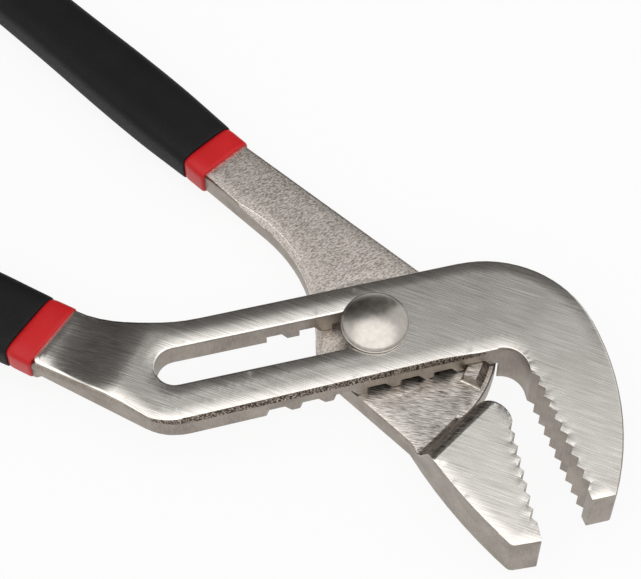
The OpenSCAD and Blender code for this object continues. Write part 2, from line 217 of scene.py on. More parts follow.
@dataclass(frozen=True)
class Crown:
    """The slight swell that a grinding belt leaves on flat faces. Sizes are in millimetres."""

    # Size of the cells that a face is cut into, reach of the fall in from an edge, and its depth there
    step: float = 1.2
    reach: float = 2.4
    drop: float = 0.11
    # Width of a rounding beside which nothing falls, and the further width beside which all of it does
    widths: tuple[float, float] = (0.06, 0.22)
    # Upward part of the normal of a face that leads on smoothly, beside which nothing falls
    smooth: float = 0.988
    # Distance between the points along the rim, and half the distance over which the lean is measured
    spacing: float = 0.5
    probe: float = 0.1

    def cut(self, bm: BMesh, mark: BMLayerItem) -> None:
        """Cut the marked faces into cells."""
        bmesh.ops.triangulate(bm, faces=[f for f in bm.faces if f[mark]])
        for axis in (0, 1):
            normal = Vector((axis == 0, axis == 1, 0))
            places = [v.co[axis] for f in bm.faces if f[mark] for v in f.verts]
            low, high = min(places), max(places)
            for i in range(1, int((high - low) / (self.step * MM)) + 1):
                place = low + (i - 0.37) * self.step * MM
                spans = ((f, [v.co[axis] for v in f.verts]) for f in bm.faces if f[mark])
                crossed = [f for f, span in spans if min(span) < place < max(span)]
                bmesh.ops.bisect_plane(bm, geom=with_rims(crossed), dist=1e-8,
                                       plane_co=normal * place, plane_no=normal)

    def fall(self, bm: BMesh, mark: BMLayerItem) -> Callable[[Vector], float]:
        """Work out how far the marked faces fall.

        Args:
            bm: The mesh.
            mark: The layer that marks the faces.

        Returns:
            A function that gives the fall at a place in plan, in millimetres.
        """
        # Points along the rim, each with its edge and the share of the fall that the rounding there takes
        points: list[tuple[Vector, Vector, Vector, float]] = []
        none, more = self.widths
        for edge in bm.edges:
            outer = [f for f in edge.link_faces if not f[mark]]
            if len(outer) == 1 and len(edge.link_faces) == 2:
                a, b = (Vector((*v.co.xy, 0)) / MM for v in edge.verts)
                length = max(edge.calc_length() / MM, 1e-4)
                share = min(1.0, max(0.0, outer[0].calc_area() / MM ** 2 / length - none) / more)
                share = 0.0 if outer[0].normal.z > self.smooth else share
                count = math.ceil(length / self.spacing)
                points += [(a.lerp(b, i / count), a, b, share) for i in range(count + 1)]
        tree = kdtree.KDTree(len(points))
        for i, point in enumerate(points):
            tree.insert(point[0], i)
        tree.balance()

        def at(place: Vector) -> float:
            """Give the fall at a place."""
            here = Vector((place.x, place.y, 0))
            far, total, blend = self.reach, 0.0, 0.0
            for _, i, gap in tree.find_n(here, 8):
                _, a, b, share = points[i]
                foot, t = intersect_point_line(here, a, b) if (b - a).length > 1e-6 else (a, 0.0)
                far = min(far, (here - (a if t < 0 else b if t > 1 else foot)).length)
                pull = 1 / (gap + 0.3) ** 3
                total, blend = total + pull, blend + pull * share
            return self.drop * blend / total * (1 - far / self.reach) ** 2
        return at

    def shape(self, bm: BMesh, flat: Callable[[BMFace], bool], level: Callable[[Vector], float]) -> None:
        """Swell flat faces, and keep the lean that this gives them for their shading.

        Args:
            bm: The mesh.
            flat: Tells which faces to swell.
            level: Gives a face's height at a place in plan, in millimetres.
        """
        mark = bm.faces.layers.int.new("crowned")
        lean = bm.verts.layers.float_vector.new("lean")
        for face in bm.faces:
            face[mark] = flat(face)
        self.cut(bm, mark)
        fall = self.fall(bm, mark)
        heights: dict[BMVert, float] = {}
        for vert in dict.fromkeys(v for f in bm.faces if f[mark] for v in f.verts):
            here = vert.co / MM
            heights[vert] = level(here) - fall(here)
            inner = [f.calc_center_median() / MM for f in vert.link_faces if f[mark]]
            if len(inner) < len(vert.link_faces):
                here += (sum(inner, Vector()) / len(inner) - here).normalized() * 2 * self.probe
            steps = (Vector((self.probe, 0, 0)), Vector((0, self.probe, 0)))
            rises = [level(here + d) - fall(here + d) - level(here - d) + fall(here - d) for d in steps]
            vert[lean] = Vector((-rises[0], -rises[1], 2 * self.probe)).normalized()
        for vert, height in heights.items():
            vert.co.z = height * MM


def soft_normals(bm: BMesh) -> list[Vector]:
    """Give each vertex the lean that a crown gave it, or else the normal of the large faces beside it."""
    bm.normal_update()
    lean = bm.verts.layers.float_vector.get("lean")
    normals = []
    for vert in bm.verts:
        normal = Vector(vert[lean]) if lean else Vector()
        if normal.length < 0.5:
            normal = sum((f.normal * f.calc_area() for f in vert.link_faces), Vector()).normalized()
        normals.append(normal)
    return normals


def make_piece(name: str, bm: BMesh, body: Body, materials: Sequence[bpy.types.Material],
               normals: Sequence[Vector] = ()) -> bpy.types.Object:
    """Make a mesh a finished piece that rides on its body in place of the node that has its name.

    Args:
        name: The node's name.
        bm: The piece's mesh, which is used up.
        body: The body that carries it.
        materials: Its materials, in the order of its faces' indices.
        normals: Its vertices' normals, where their faces alone don't give them.

    Returns:
        The piece.
    """
    mesh = bpy.data.meshes.new(f"dressed_{name}")
    bm.to_mesh(mesh)
    bm.free()
    mesh.shade_smooth()
    if normals:
        mesh.normals_split_custom_set_from_vertices(normals)
    for material in materials:
        mesh.materials.append(material)
    piece = bpy.data.objects.new(f"dressed_{name}", mesh)
    bpy.context.collection.objects.link(piece)
    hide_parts(name)
    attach(piece, body.value)
    LOG.info("%s: %d faces on %s", piece.name, len(mesh.polygons), body.value)
    return piece


def fit_handle(bm: BMesh, place: Vector, normal: Vector, along: Vector) -> None:
    """End a handle in its grip's mouth, with a smaller stub inside the grip.

    Args:
        bm: The half's mesh.
        place: A point of the mouth's plane, in millimetres.
        normal: The plane's normal.
        along: The handle's direction.
    """
    for face in cut_off(bm, list(bm.faces), (place + normal * STUB_REACH) * MM, normal):
        bmesh.ops.inset_region(bm, faces=[face], thickness=STUB_INSET * MM, use_even_offset=True)
        bmesh.ops.translate(bm, vec=along * STUB_LEN * MM, verts=face.verts)


def in_frame(point: Vector, degrees: float) -> Vector:
    """Give a point of the tool in millimetres, in a frame that is turned about the pivot."""
    return Matrix.Rotation(math.radians(-degrees), 3, "Z") @ point / MM


def heading(degrees: float) -> Vector:
    """Give the unit vector at an angle in plan."""
    return Vector((math.cos(math.radians(degrees)), math.sin(math.radians(degrees)), 0))


# ---------------------------------------------------------------- finishes


@dataclass(frozen=True)
class Finish:
    """What every finish has: a name, the colours it runs between, its roughness and its relief."""

    name: str
    dark: str
    pale: str
    roughness: tuple[float, float]
    relief: float
    metallic: float = 1.0
    specular: float = 0.5

    def grain(self, tree: bpy.types.NodeTree, place: bpy.types.NodeSocket) -> dict[str, bpy.types.NodeSocket]:
        """Draw the finish's pattern.

        Args:
            tree: The material's nodes.
            place: Object coordinates.

        Returns:
            The tone between the two colours, and the height of the relief, each from 0 to 1.
        """
        raise NotImplementedError

    def make(self) -> bpy.types.Material:
        """Build the material from the pattern."""
        material, tree = bare_material(self.name)
        pattern = self.grain(tree, add_node(tree, "ShaderNodeTexCoord").outputs["Object"])
        colour = add_node(tree, "ShaderNodeMix", {
            0: pattern["tone"], 6: linear(self.dark), 7: linear(self.pale)}, data_type="RGBA")
        rough = add_node(tree, "ShaderNodeMapRange", {
            "Value": pattern["height"], "From Min": 0.25, "From Max": 0.75,
            "To Min": self.roughness[0], "To Max": self.roughness[1]})
        bump = add_node(tree, "ShaderNodeBump", {
            "Height": pattern["height"], "Strength": 1.0, "Distance": self.relief * MM})
        shader = add_node(tree, "ShaderNodeBsdfPrincipled", {
            "Base Color": colour.outputs[2], "Metallic": self.metallic,
            "Roughness": rough.outputs[0], "Normal": bump.outputs[0], "Specular IOR Level": self.specular})
        add_node(tree, "ShaderNodeOutputMaterial", {"Surface": shader.outputs[0]})
        return material


@dataclass(frozen=True)
class BrushedNickel(Finish):
    """Nickel plate over belt-ground steel: the belt's long scratches give a sheen that runs in lines."""

    name: str = "belt_ground_nickel_plate"
    dark: str = "#C6C1BA"
    pale: str = "#F6F2EC"
    roughness: tuple[float, float] = (0.17, 0.24)
    relief: float = 0.0045
    # Length and width of a scratch in millimetres, coarser than a real belt's so that it shows
    scratch: tuple[float, float] = (10.0, 0.2)
    lay: float = 14.0

    def grain(self, tree: bpy.types.NodeTree, place: bpy.types.NodeSocket) -> dict[str, bpy.types.NodeSocket]:
        """Draw scratches along the lay, over faint broad patches."""
        length, width = (s * MM for s in self.scratch)
        along = add_node(tree, "ShaderNodeMapping", {
            "Vector": place, "Rotation": (0, 0, math.radians(self.lay)),
            "Scale": (length, width, 5 * width)}, vector_type="TEXTURE").outputs[0]
        lines = add_node(tree, "ShaderNodeTexNoise", {
            "Vector": along, "Scale": 1.0, "Detail": 3.0, "Roughness": 0.65}).outputs[0]
        patches = add_node(tree, "ShaderNodeTexNoise", {
            "Vector": place, "Scale": 1 / (9 * MM), "Detail": 2.0}).outputs[0]
        both = add_node(tree, "ShaderNodeMath", {
            0: patches, 1: 0.3, 2: lines}, operation="MULTIPLY_ADD").outputs[0]
        tone = add_node(tree, "ShaderNodeMapRange", {
            "Value": both, "From Min": 0.45, "From Max": 0.85}).outputs[0]
        return {"tone": tone, "height": lines}


@dataclass(frozen=True)
class RibbedNickel(BrushedNickel):
    """Nickel plate over steel ground on a coarse wheel: short deep scratches that glitter."""

    name: str = "coarse_ground_nickel_plate"
    dark: str = "#655B53"
    pale: str = "#F8F2EB"
    roughness: tuple[float, float] = (0.26, 0.38)
    relief: float = 0.03
    scratch: tuple[float, float] = (2.4, 0.26)
    lay: float = 24.0


@dataclass(frozen=True)
class BlastedNickel(Finish):
    """Nickel plate over grit-blasted steel: small pits and peaks that sparkle, a little drawn out."""

    name: str = "grit_blasted_nickel_plate"
    dark: str = "#ADA399"
    pale: str = "#F0E8E0"
    roughness: tuple[float, float] = (0.3, 0.46)
    relief: float = 0.035
    # Size of a grit mark in millimetres, along and across
    grit: tuple[float, float] = (0.62, 0.28)
    lay: float = 64.0

    def grain(self, tree: bpy.types.NodeTree, place: bpy.types.NodeSocket) -> dict[str, bpy.types.NodeSocket]:
        """Draw pits of the grit's size, with finer ones between them."""
        length, width = (s * MM for s in self.grit)
        along = add_node(tree, "ShaderNodeMapping", {
            "Vector": place, "Rotation": (0, 0, math.radians(self.lay)),
            "Scale": (length, width, width)}, vector_type="TEXTURE").outputs[0]
        pits = add_node(tree, "ShaderNodeTexNoise", {
            "Vector": along, "Scale": 1.0, "Detail": 2.5, "Roughness": 0.6}).outputs[0]
        tone = add_node(tree, "ShaderNodeMapRange", {
            "Value": pits, "From Min": 0.34, "From Max": 0.6}).outputs[0]
        return {"tone": tone, "height": pits}


@dataclass(frozen=True)
class ForgedFlank(Finish):
    """Nickel plate over a forging's sawn and blasted sides: duller and warmer than the ground faces."""

    name: str = "forged_nickel_plate"
    dark: str = "#8B8279"
    pale: str = "#ABA298"
    roughness: tuple[float, float] = (0.34, 0.5)
    relief: float = 0.03
    # Width of a mark in millimetres, and its height up the side
    mark: tuple[float, float] = (0.5, 1.6)

    def grain(self, tree: bpy.types.NodeTree, place: bpy.types.NodeSocket) -> dict[str, bpy.types.NodeSocket]:
        """Draw upright marks over broad patches."""
        width, height = (s * MM for s in self.mark)
        upright = add_node(tree, "ShaderNodeMapping", {
            "Vector": place, "Scale": (width, width, height)}, vector_type="TEXTURE").outputs[0]
        marks = add_node(tree, "ShaderNodeTexNoise", {
            "Vector": upright, "Scale": 1.0, "Detail": 2.0, "Roughness": 0.55}).outputs[0]
        patches = add_node(tree, "ShaderNodeTexNoise", {
            "Vector": place, "Scale": 1 / (6 * MM), "Detail": 2.0}).outputs[0]
        both = add_node(tree, "ShaderNodeMath", {0: marks, 1: patches}, operation="ADD").outputs[0]
        tone = add_node(tree, "ShaderNodeMapRange", {
            "Value": both, "From Min": 0.75, "From Max": 1.25}).outputs[0]
        return {"tone": tone, "height": marks}


@dataclass(frozen=True)
class TrimmedEdge(Finish):
    """Nickel plate over the torn edge that a trimming die leaves: dark, with bright flecks."""

    name: str = "die_trimmed_nickel_plate"
    dark: str = "#3A3029"
    pale: str = "#B9AEA2"
    roughness: tuple[float, float] = (0.3, 0.5)
    relief: float = 0.12
    # Width of a fleck in millimetres
    fleck: float = 0.35

    def grain(self, tree: bpy.types.NodeTree, place: bpy.types.NodeSocket) -> dict[str, bpy.types.NodeSocket]:
        """Draw flecks of the tear's size."""
        flecks = add_node(tree, "ShaderNodeTexNoise", {
            "Vector": place, "Scale": 1 / (self.fleck * MM), "Detail": 2.0, "Roughness": 0.6}).outputs[0]
        tone = add_node(tree, "ShaderNodeMapRange", {
            "Value": flecks, "From Min": 0.42, "From Max": 0.68}).outputs[0]
        return {"tone": tone, "height": flecks}


@dataclass(frozen=True)
class PolishedSteel(Finish):
    """Nickel plate over turned and tumbled steel: a soft shine, dulled by fine dents and scratches."""

    name: str = "polished_steel"
    dark: str = "#ACA69E"
    pale: str = "#D0CBC4"
    roughness: tuple[float, float] = (0.27, 0.34)
    relief: float = 0.01
    # Width of a dent in millimetres
    dent: float = 1.1

    def grain(self, tree: bpy.types.NodeTree, place: bpy.types.NodeSocket) -> dict[str, bpy.types.NodeSocket]:
        """Draw shallow dents."""
        dents = add_node(tree, "ShaderNodeTexNoise", {
            "Vector": place, "Scale": 1 / (self.dent * MM), "Detail": 2.0, "Roughness": 0.5}).outputs[0]
        return {"tone": dents, "height": dents}


@dataclass(frozen=True)
class PlatedSteel(PolishedSteel):
    """Zinc-plated machined steel: cooler and duller than the bolt, with a faint cloud."""

    name: str = "zinc_plated_steel"
    dark: str = "#A3A3A1"
    pale: str = "#C6C7C6"
    roughness: tuple[float, float] = (0.28, 0.4)
    dent: float = 1.6


@dataclass(frozen=True)
class Vinyl(Finish):
    """Dip-moulded vinyl: a skin whose small bumps break up its shine."""

    metallic: float = 0.0
    # Width of a bump in millimetres
    bump: float = 0.4

    def grain(self, tree: bpy.types.NodeTree, place: bpy.types.NodeSocket) -> dict[str, bpy.types.NodeSocket]:
        """Draw bumps over faint broad waves."""
        bumps = add_node(tree, "ShaderNodeTexNoise", {
            "Vector": place, "Scale": 1 / (self.bump * MM), "Detail": 2.0}).outputs[0]
        waves = add_node(tree, "ShaderNodeTexNoise", {
            "Vector": place, "Scale": 1 / (7 * MM), "Detail": 2.0}).outputs[0]
        return {"tone": waves, "height": bumps}


RED_VINYL = Vinyl("smooth_red_vinyl", dark="#C0171A", pale="#DA2327", roughness=(0.3, 0.4), relief=0.01,
                  specular=0.3, bump=0.9)
BLACK_VINYL = Vinyl("pebbled_black_vinyl", dark="#0F0F10", pale="#1C1B1D", roughness=(0.5, 0.68), relief=0.07,
                    specular=0.2, bump=0.5)


# ---------------------------------------------------------------- the halves


@dataclass
class ToothRow:
    """A row of teeth in a jaw, in its half's frame, in millimetres."""

    start: tuple[float, float]
    angle: float
    count: int
    pitch: float = 2.7
    depth: float = 1.15
    # Rounding at the teeth, and its growth with each millimetre away from them
    least: float = 0.1
    growth: float = 0.07

    def distance(self, point: Vector) -> float:
        """Give how far a point in the half's frame is from the row."""
        way = point - Vector((*self.start, point.z))
        along, across = way.dot(heading(self.angle)), abs(way.cross(heading(self.angle)).z)
        beyond = max(0.0, -along, along - self.count * self.pitch - 0.8)
        return math.hypot(beyond, max(0.0, across - self.depth - 0.2))

    def rounding(self, ends: Sequence[Vector], widest: float) -> float:
        """Give an edge's radius, which grows with its distance from the row up to the widest."""
        return min(widest, self.least + self.growth * min(self.distance(p) for p in ends))


@dataclass
class SlottedHalf:
    """The half with the upper jaw, the slot and its grooves. Sizes are in millimetres."""

    teeth: ToothRow = field(default_factory=lambda: ToothRow(start=(27.4, -17.7), angle=-83.2, count=10))
    slot_half_w: float = 4.08
    slot_len: float = 40.8
    bar_low: float = -10.9
    groove_top: float = 13.3
    handle_angle: float = 139.0
    handle_len: float = 26.0
    handle_axis: float = 4.38
    mouth_lean: float = 7.0
    # Where the handle's set begins, its length and its drop
    ramp: tuple[float, float, float] = (17.0, 8.5, 2.4)
    # How much sooner the soft bend begins than the ramp, and how much longer it is
    bend: tuple[float, float] = (9.0, 7.5)
    # The knee's radius, the angles between which it turns, and the sloping edge's run and depth
    knee_r: float = 12.38
    knee: tuple[float, float] = (270.0, 229.0)
    knee_steps: int = 9
    slope: tuple[float, float] = (0.7, 1.2)
    # Where the sloping edge begins to run out towards the throat
    trim_end: float = 11.0
    # Least place across the handle and least height of its outer edge
    outer_edge: tuple[float, float] = (9.0, 13.5)
    # Rounding of that edge where it enters its grip, and the places where it changes
    grip_round: float = 2.8
    fillet: tuple[float, ...] = (5.5, 9.5, 13.5)
    # Roundings of the lower bar's lip, the grooves, the back, the sloping edge, the slot and the rest
    lip_round: float = 0.3
    groove_round: float = 0.1
    back_round: float = 0.15
    trim_round: float = 0.15
    slot_round: float = 0.5
    edge_round: float = 0.6

    @property
    def slot_end(self) -> Vector:
        """The middle of the slot's far end on the tool."""
        return heading(SLOT_ANGLE + 180) * self.slot_len

    @property
    def along(self) -> Vector:
        """The handle's direction."""
        return heading(SLOT_ANGLE + self.handle_angle)

    @property
    def across(self) -> Vector:
        """The direction across the handle, towards its outer edge."""
        return heading(SLOT_ANGLE + self.handle_angle + 90)

    @property
    def mouth(self) -> tuple[Vector, Vector]:
        """A point of the plane in which the handle enters its grip, and the plane's normal."""
        lean = self.along - self.across * math.tan(math.radians(self.mouth_lean))
        place = self.slot_end + self.along * self.handle_len + self.across * self.handle_axis
        return place, lean.normalized()

    def on_handle(self, point: Vector) -> tuple[float, float]:
        """Give a point's places along and across the handle, from the slot's end."""
        way = point - self.slot_end
        return way.dot(self.along), way.dot(self.across)

    def radius(self, edge: BMEdge) -> float:
        """Give the rounding of a sharp edge."""
        place, normal = self.mouth
        if all((v.co / MM - place).dot(normal) > -0.02 for v in edge.verts):
            return 0.0
        ends = [in_frame(v.co, SLOT_ANGLE) for v in edge.verts]
        if all(p.y < self.bar_low and -45 < p.x < 12 and p.z < self.groove_top for p in ends):
            return self.lip_round
        if any(PLATE_Z + 0.03 < p.z < self.groove_top for p in ends):
            return self.groove_round
        if all(abs(p.z - PLATE_Z) < 0.03 for p in ends):
            return self.back_round
        places = [self.on_handle(v.co / MM) for v in edge.verts]
        out, low = self.outer_edge
        if all(p[1] > out for p in places) and all(v.co.z > low * MM for v in edge.verts):
            # The knee's own edges stay sharp
            begin = min(p[0] for p in places)
            grown = self.grip_round * max(0.0, begin - 2) / self.handle_len
            return self.trim_round + grown if begin > -0.5 else 0.0
        if any(0.12 < f.normal.z < 0.92 for f in edge.link_faces):
            return self.trim_round
        if all(abs(p.y) < self.slot_half_w + 0.1 and -self.slot_len - 4.3 < p.x < 4.3 for p in ends):
            return self.slot_round
        return self.teeth.rounding(ends, self.edge_round)

    def zone(self, face: BMFace) -> Zone:
        """Give the finish of a face."""
        normal = Matrix.Rotation(math.radians(-SLOT_ANGLE), 3, "Z") @ face.normal
        if abs(normal.z) < 0.06:
            return Zone.FLANK
        turn = math.degrees(math.atan2(normal.y, normal.x)) % 360
        return Zone.TRIM if normal.z < 0.92 and self.knee[1] + 4 < turn < self.knee[0] + 4 else Zone.GROUND

    def round_knee(self, bm: BMesh) -> None:
        """Carry the sloping edge round the knee, in steps."""
        centre = self.slot_end + Vector((0, 0, TOP_Z))
        run, depth = self.slope
        side = heading(SLOT_ANGLE)
        split_along(bm, (centre + 2 * side) * MM, side)
        first, last = self.knee
        for i in range(1, self.knee_steps):
            out = heading(SLOT_ANGLE + first + (last - first) * i / self.knee_steps)
            near = [f for f in bm.faces if all((v.co / MM - centre).dot(side) < 2.01 for v in f.verts)]
            tilt = (out * depth + Vector((0, 0, run))).normalized()
            cut_off(bm, near, (centre + out * (self.knee_r - run)) * MM, tilt)
        bmesh.ops.dissolve_limit(bm, angle_limit=FLAT_ANGLE, verts=bm.verts, edges=bm.edges)

    def thin_slope(self, bm: BMesh) -> None:
        """Let the sloping edge run out towards the throat and round the knee, up to a square edge."""
        run, depth = self.slope
        first, last = self.knee
        side = heading(SLOT_ANGLE)
        split_along(bm, side * self.trim_end * MM, side)
        for vert in bm.verts:
            above = [f for f in vert.link_faces if f.normal.z > 0.92]
            beside = [f for f in vert.link_faces if 0.25 < f.normal.z < 0.92]
            if above and beside:
                way = in_frame(vert.co, SLOT_ANGLE) + Vector((self.slot_len, 0, 0))
                turn = min(first, max(last, math.degrees(math.atan2(way.y, way.x)) % 360))
                height = vert.co.z / MM - TOP_Z + depth
                gone = 1.0 if way.x > self.slot_len + self.trim_end + 1 else (first - turn) / (first - last)
                vert.co += heading(SLOT_ANGLE + turn) * run * gone * height / depth * MM
        bmesh.ops.remove_doubles(bm, verts=bm.verts, dist=1e-3 * MM)
        bm.normal_update()
        bmesh.ops.dissolve_limit(bm, angle_limit=math.radians(0.5), verts=bm.verts, edges=bm.edges)

    def ready_outer_edge(self, bm: BMesh) -> None:
        """Clear the seams below the handle's outer edge, and cut it where its rounding changes."""
        seams = []
        for edge in bm.edges:
            upright = all(abs(f.normal.z) < 0.06 for f in edge.link_faces)
            places = [self.on_handle(v.co / MM) for v in edge.verts]
            outer = all(a > -0.5 and b > self.outer_edge[0] for a, b in places)
            if upright and outer and edge.calc_face_angle(0) < math.radians(5):
                seams.append(edge)
        bmesh.ops.dissolve_edges(bm, edges=seams, use_verts=True)
        for place in self.fillet:
            split_along(bm, (self.slot_end + self.along * place) * MM, self.along)

    def straight(self, point: Vector) -> float:
        """Give the top's height over a point of the tool, with the handle's set as a straight ramp."""
        begin, length, drop = self.ramp
        share = (self.on_handle(point)[0] - begin) / length
        return TOP_Z - drop * min(1.0, max(0.0, share))

    def is_top(self, face: BMFace) -> bool:
        """Tell whether a face belongs to the ground top, slivers included."""
        return all(abs(v.co.z / MM - self.straight(v.co / MM)) < 0.004 for v in face.verts)

    def level(self, point: Vector) -> float:
        """Give the top's height over a point of the tool, with the handle's set as one soft bend."""
        begin, length, drop = self.ramp
        sooner, longer = self.bend
        t = min(1.0, max(0.0, (self.on_handle(point)[0] - begin + sooner) / (length + longer)))
        return TOP_Z - drop * t * t * (3 - 2 * t)

    def ease_set(self, bm: BMesh) -> None:
        """Let the rounded edges follow the soft bend too."""
        lean = bm.verts.layers.float_vector["lean"]
        for vert in bm.verts:
            if vert[lean].length < 0.5 and vert.co.z > (PLATE_Z + 1.5) * MM:
                place = vert.co / MM
                vert.co.z += (self.level(place) - self.straight(place)) * MM

    def build(self, materials: Sequence[bpy.types.Material]) -> None:
        """Round, swell and dress the half."""
        bm = merged_copy("front_half")
        self.round_knee(bm)
        self.thin_slope(bm)
        self.ready_outer_edge(bm)
        fit_handle(bm, *self.mouth, self.along)
        for face in bm.faces:
            face.material_index = self.zone(face)
        bm = rounded(bm, self.radius, 3)
        Crown().shape(bm, self.is_top, self.level)
        self.ease_set(bm)
        make_piece("front_half", bm, Body.SLOTTED, materials, soft_normals(bm))


@dataclass
class TongueHalf:
    """The half with the lower jaw, the neck and the tongue. Sizes are in millimetres."""

    teeth: ToothRow = field(default_factory=lambda: ToothRow(start=(34.0, 2.9), angle=-36.2, count=8))
    bore_r: float = 4.06
    pad_r: float = 14.2
    # Where the jaw's shoulder begins, and the depth of its flank below the pivot
    jaw_from: float = 23.4
    flank: float = -12.8
    tip: tuple[float, float] = (51.8, -17.2)
    handle_len: float = 52.8
    handle_axis: float = -9.6
    mouth_lean: float = 3.5
    # Roundings of the bore, the pad's foot, the tongue, the jaw's tip, its flank, its shoulder and the rest
    bore_round: float = 0.12
    pad_round: float = 0.1
    tongue_round: float = 0.12
    tip_round: float = 1.1
    flank_round: float = 0.22
    shoulder_round: float = 0.3
    edge_round: float = 0.6

    @property
    def along(self) -> Vector:
        """The handle's direction."""
        return heading(TONGUE_ANGLE + 180)

    @property
    def mouth(self) -> tuple[Vector, Vector]:
        """A point of the plane in which the handle enters its grip, and the plane's normal."""
        across = heading(TONGUE_ANGLE + 270)
        lean = self.along - across * math.tan(math.radians(self.mouth_lean))
        return self.along * self.handle_len + across * self.handle_axis, lean.normalized()

    def radius(self, edge: BMEdge) -> float:
        """Give the rounding of a sharp edge."""
        place, normal = self.mouth
        if all((v.co / MM - place).dot(normal) > -0.02 for v in edge.verts):
            return 0.0
        ends = [in_frame(v.co, TONGUE_ANGLE) for v in edge.verts]
        if all(p.xy.length < self.bore_r + 0.1 for p in ends):
            return self.bore_round
        if all(abs(p.xy.length - self.pad_r) < 0.1 and p.z < PAD_Z + 0.02 for p in ends):
            return self.pad_round
        if any(PAD_Z - 0.02 < p.z < TOP_Z - 0.5 and p.x < self.jaw_from for p in ends):
            return self.tongue_round
        if all((p.xy - Vector(self.tip)).length < 0.1 for p in ends):
            return self.tip_round
        if all(p.y < self.flank and p.x > self.jaw_from and p.z > NECK_Z - 0.1 for p in ends):
            return self.flank_round
        if any(0.2 < f.normal.z < 0.9 for f in edge.link_faces):
            return self.shoulder_round
        return self.teeth.rounding(ends, self.edge_round)

    def zone(self, face: BMFace) -> Zone:
        """Give the finish of a face."""
        middle = in_frame(face.calc_center_median(), TONGUE_ANGLE)
        if middle.x > self.jaw_from and 0.02 < face.normal.z < 0.97:
            return Zone.RIBBED
        if abs(face.normal.z) < 0.3 and not (middle.x < 0 and face.normal.z > 0.02):
            return Zone.FLANK
        if middle.x > self.jaw_from and (middle.z > NECK_Z + 0.02 or middle.z < BACK_Z + 0.1):
            return Zone.GROUND
        return Zone.RIBBED if middle.x > 0 and face.normal.z > 0 else Zone.BLASTED

    def build(self, materials: Sequence[bpy.types.Material]) -> None:
        """Round, swell and dress the half."""
        bm = merged_copy("back_half")
        fit_handle(bm, *self.mouth, self.along)
        # The neck's two finishes meet under the other half
        split = [f for f in bm.faces if f.normal.z > 0.999 and f.calc_center_median().z < (NECK_Z + 0.1) * MM]
        bmesh.ops.bisect_plane(bm, geom=with_rims(split), dist=1e-7, plane_co=(0, 0, 0), plane_no=-self.along)
        for face in bm.faces:
            face.material_index = self.zone(face)
        bm = rounded(bm, self.radius, 3)
        Crown().shape(bm, lambda f: f.normal.z > 0.99999, lambda p: p.z)
        make_piece("back_half", bm, Body.TONGUE, materials, soft_normals(bm))


# ---------------------------------------------------------------- pivot


@dataclass
class Pivot:
    """The bolt and its nut. Sizes are in millimetres."""

    head_r: float = 6.9
    rim_h: float = 0.7
    dome_h: float = 2.3
    shank_r: float = 4.0
    thread_r: float = 3.4
    # Width of the step between the dome and the rim, and the rounding of the nut's edges
    step_w: float = 0.2
    nut_round: float = 0.12
    steps: int = 96

    def outline(self) -> list[tuple[float, float]]:
        """Give the bolt's half outline, from the top of its dome to its end."""
        ball = (self.head_r ** 2 + self.dome_h ** 2) / (2 * self.dome_h)
        top = HEAD_Z + self.rim_h + self.dome_h
        widest = math.asin((self.head_r - self.step_w) / ball)
        dome = [(ball * math.sin(widest * i / 14), top - ball + ball * math.cos(widest * i / 14))
                for i in range(15)]
        r, z = self.head_r, HEAD_Z
        rim = [(r - 0.24, z + 0.34), (r - 0.06, z + 0.32), (r, z + 0.25), (r, z + 0.08), (r - 0.08, z)]
        end = [(self.shank_r, z), (self.shank_r, BACK_Z), (self.shank_r - 0.1, BACK_Z - 0.1),
               (self.thread_r, BACK_Z - 0.1), (self.thread_r, 0.35), (self.thread_r - 0.35, 0), (0, 0)]
        return dome + rim + end

    def build(self, bolt: bpy.types.Material, nut: bpy.types.Material) -> None:
        """Turn the bolt and round the nut."""
        bm = bmesh.new()
        points = [bm.verts.new((x * MM, 0, z * MM)) for x, z in self.outline()]
        edges = [bm.edges.new(pair) for pair in zip(points, points[1:])]
        bmesh.ops.spin(bm, geom=points + edges, cent=(0, 0, 0), axis=(0, 0, 1), angle=math.tau,
                       steps=self.steps, use_merge=True)
        bmesh.ops.remove_doubles(bm, verts=bm.verts, dist=1e-6)
        bmesh.ops.recalc_face_normals(bm, faces=bm.faces)
        make_piece("pivot_bolt", bm, Body.PIVOT, [bolt], soft_normals(bm))
        bm = rounded(merged_copy("pivot_nut"), lambda edge: self.nut_round, 2)
        make_piece("pivot_nut", bm, Body.PIVOT, [nut], soft_normals(bm))


# ---------------------------------------------------------------- grips


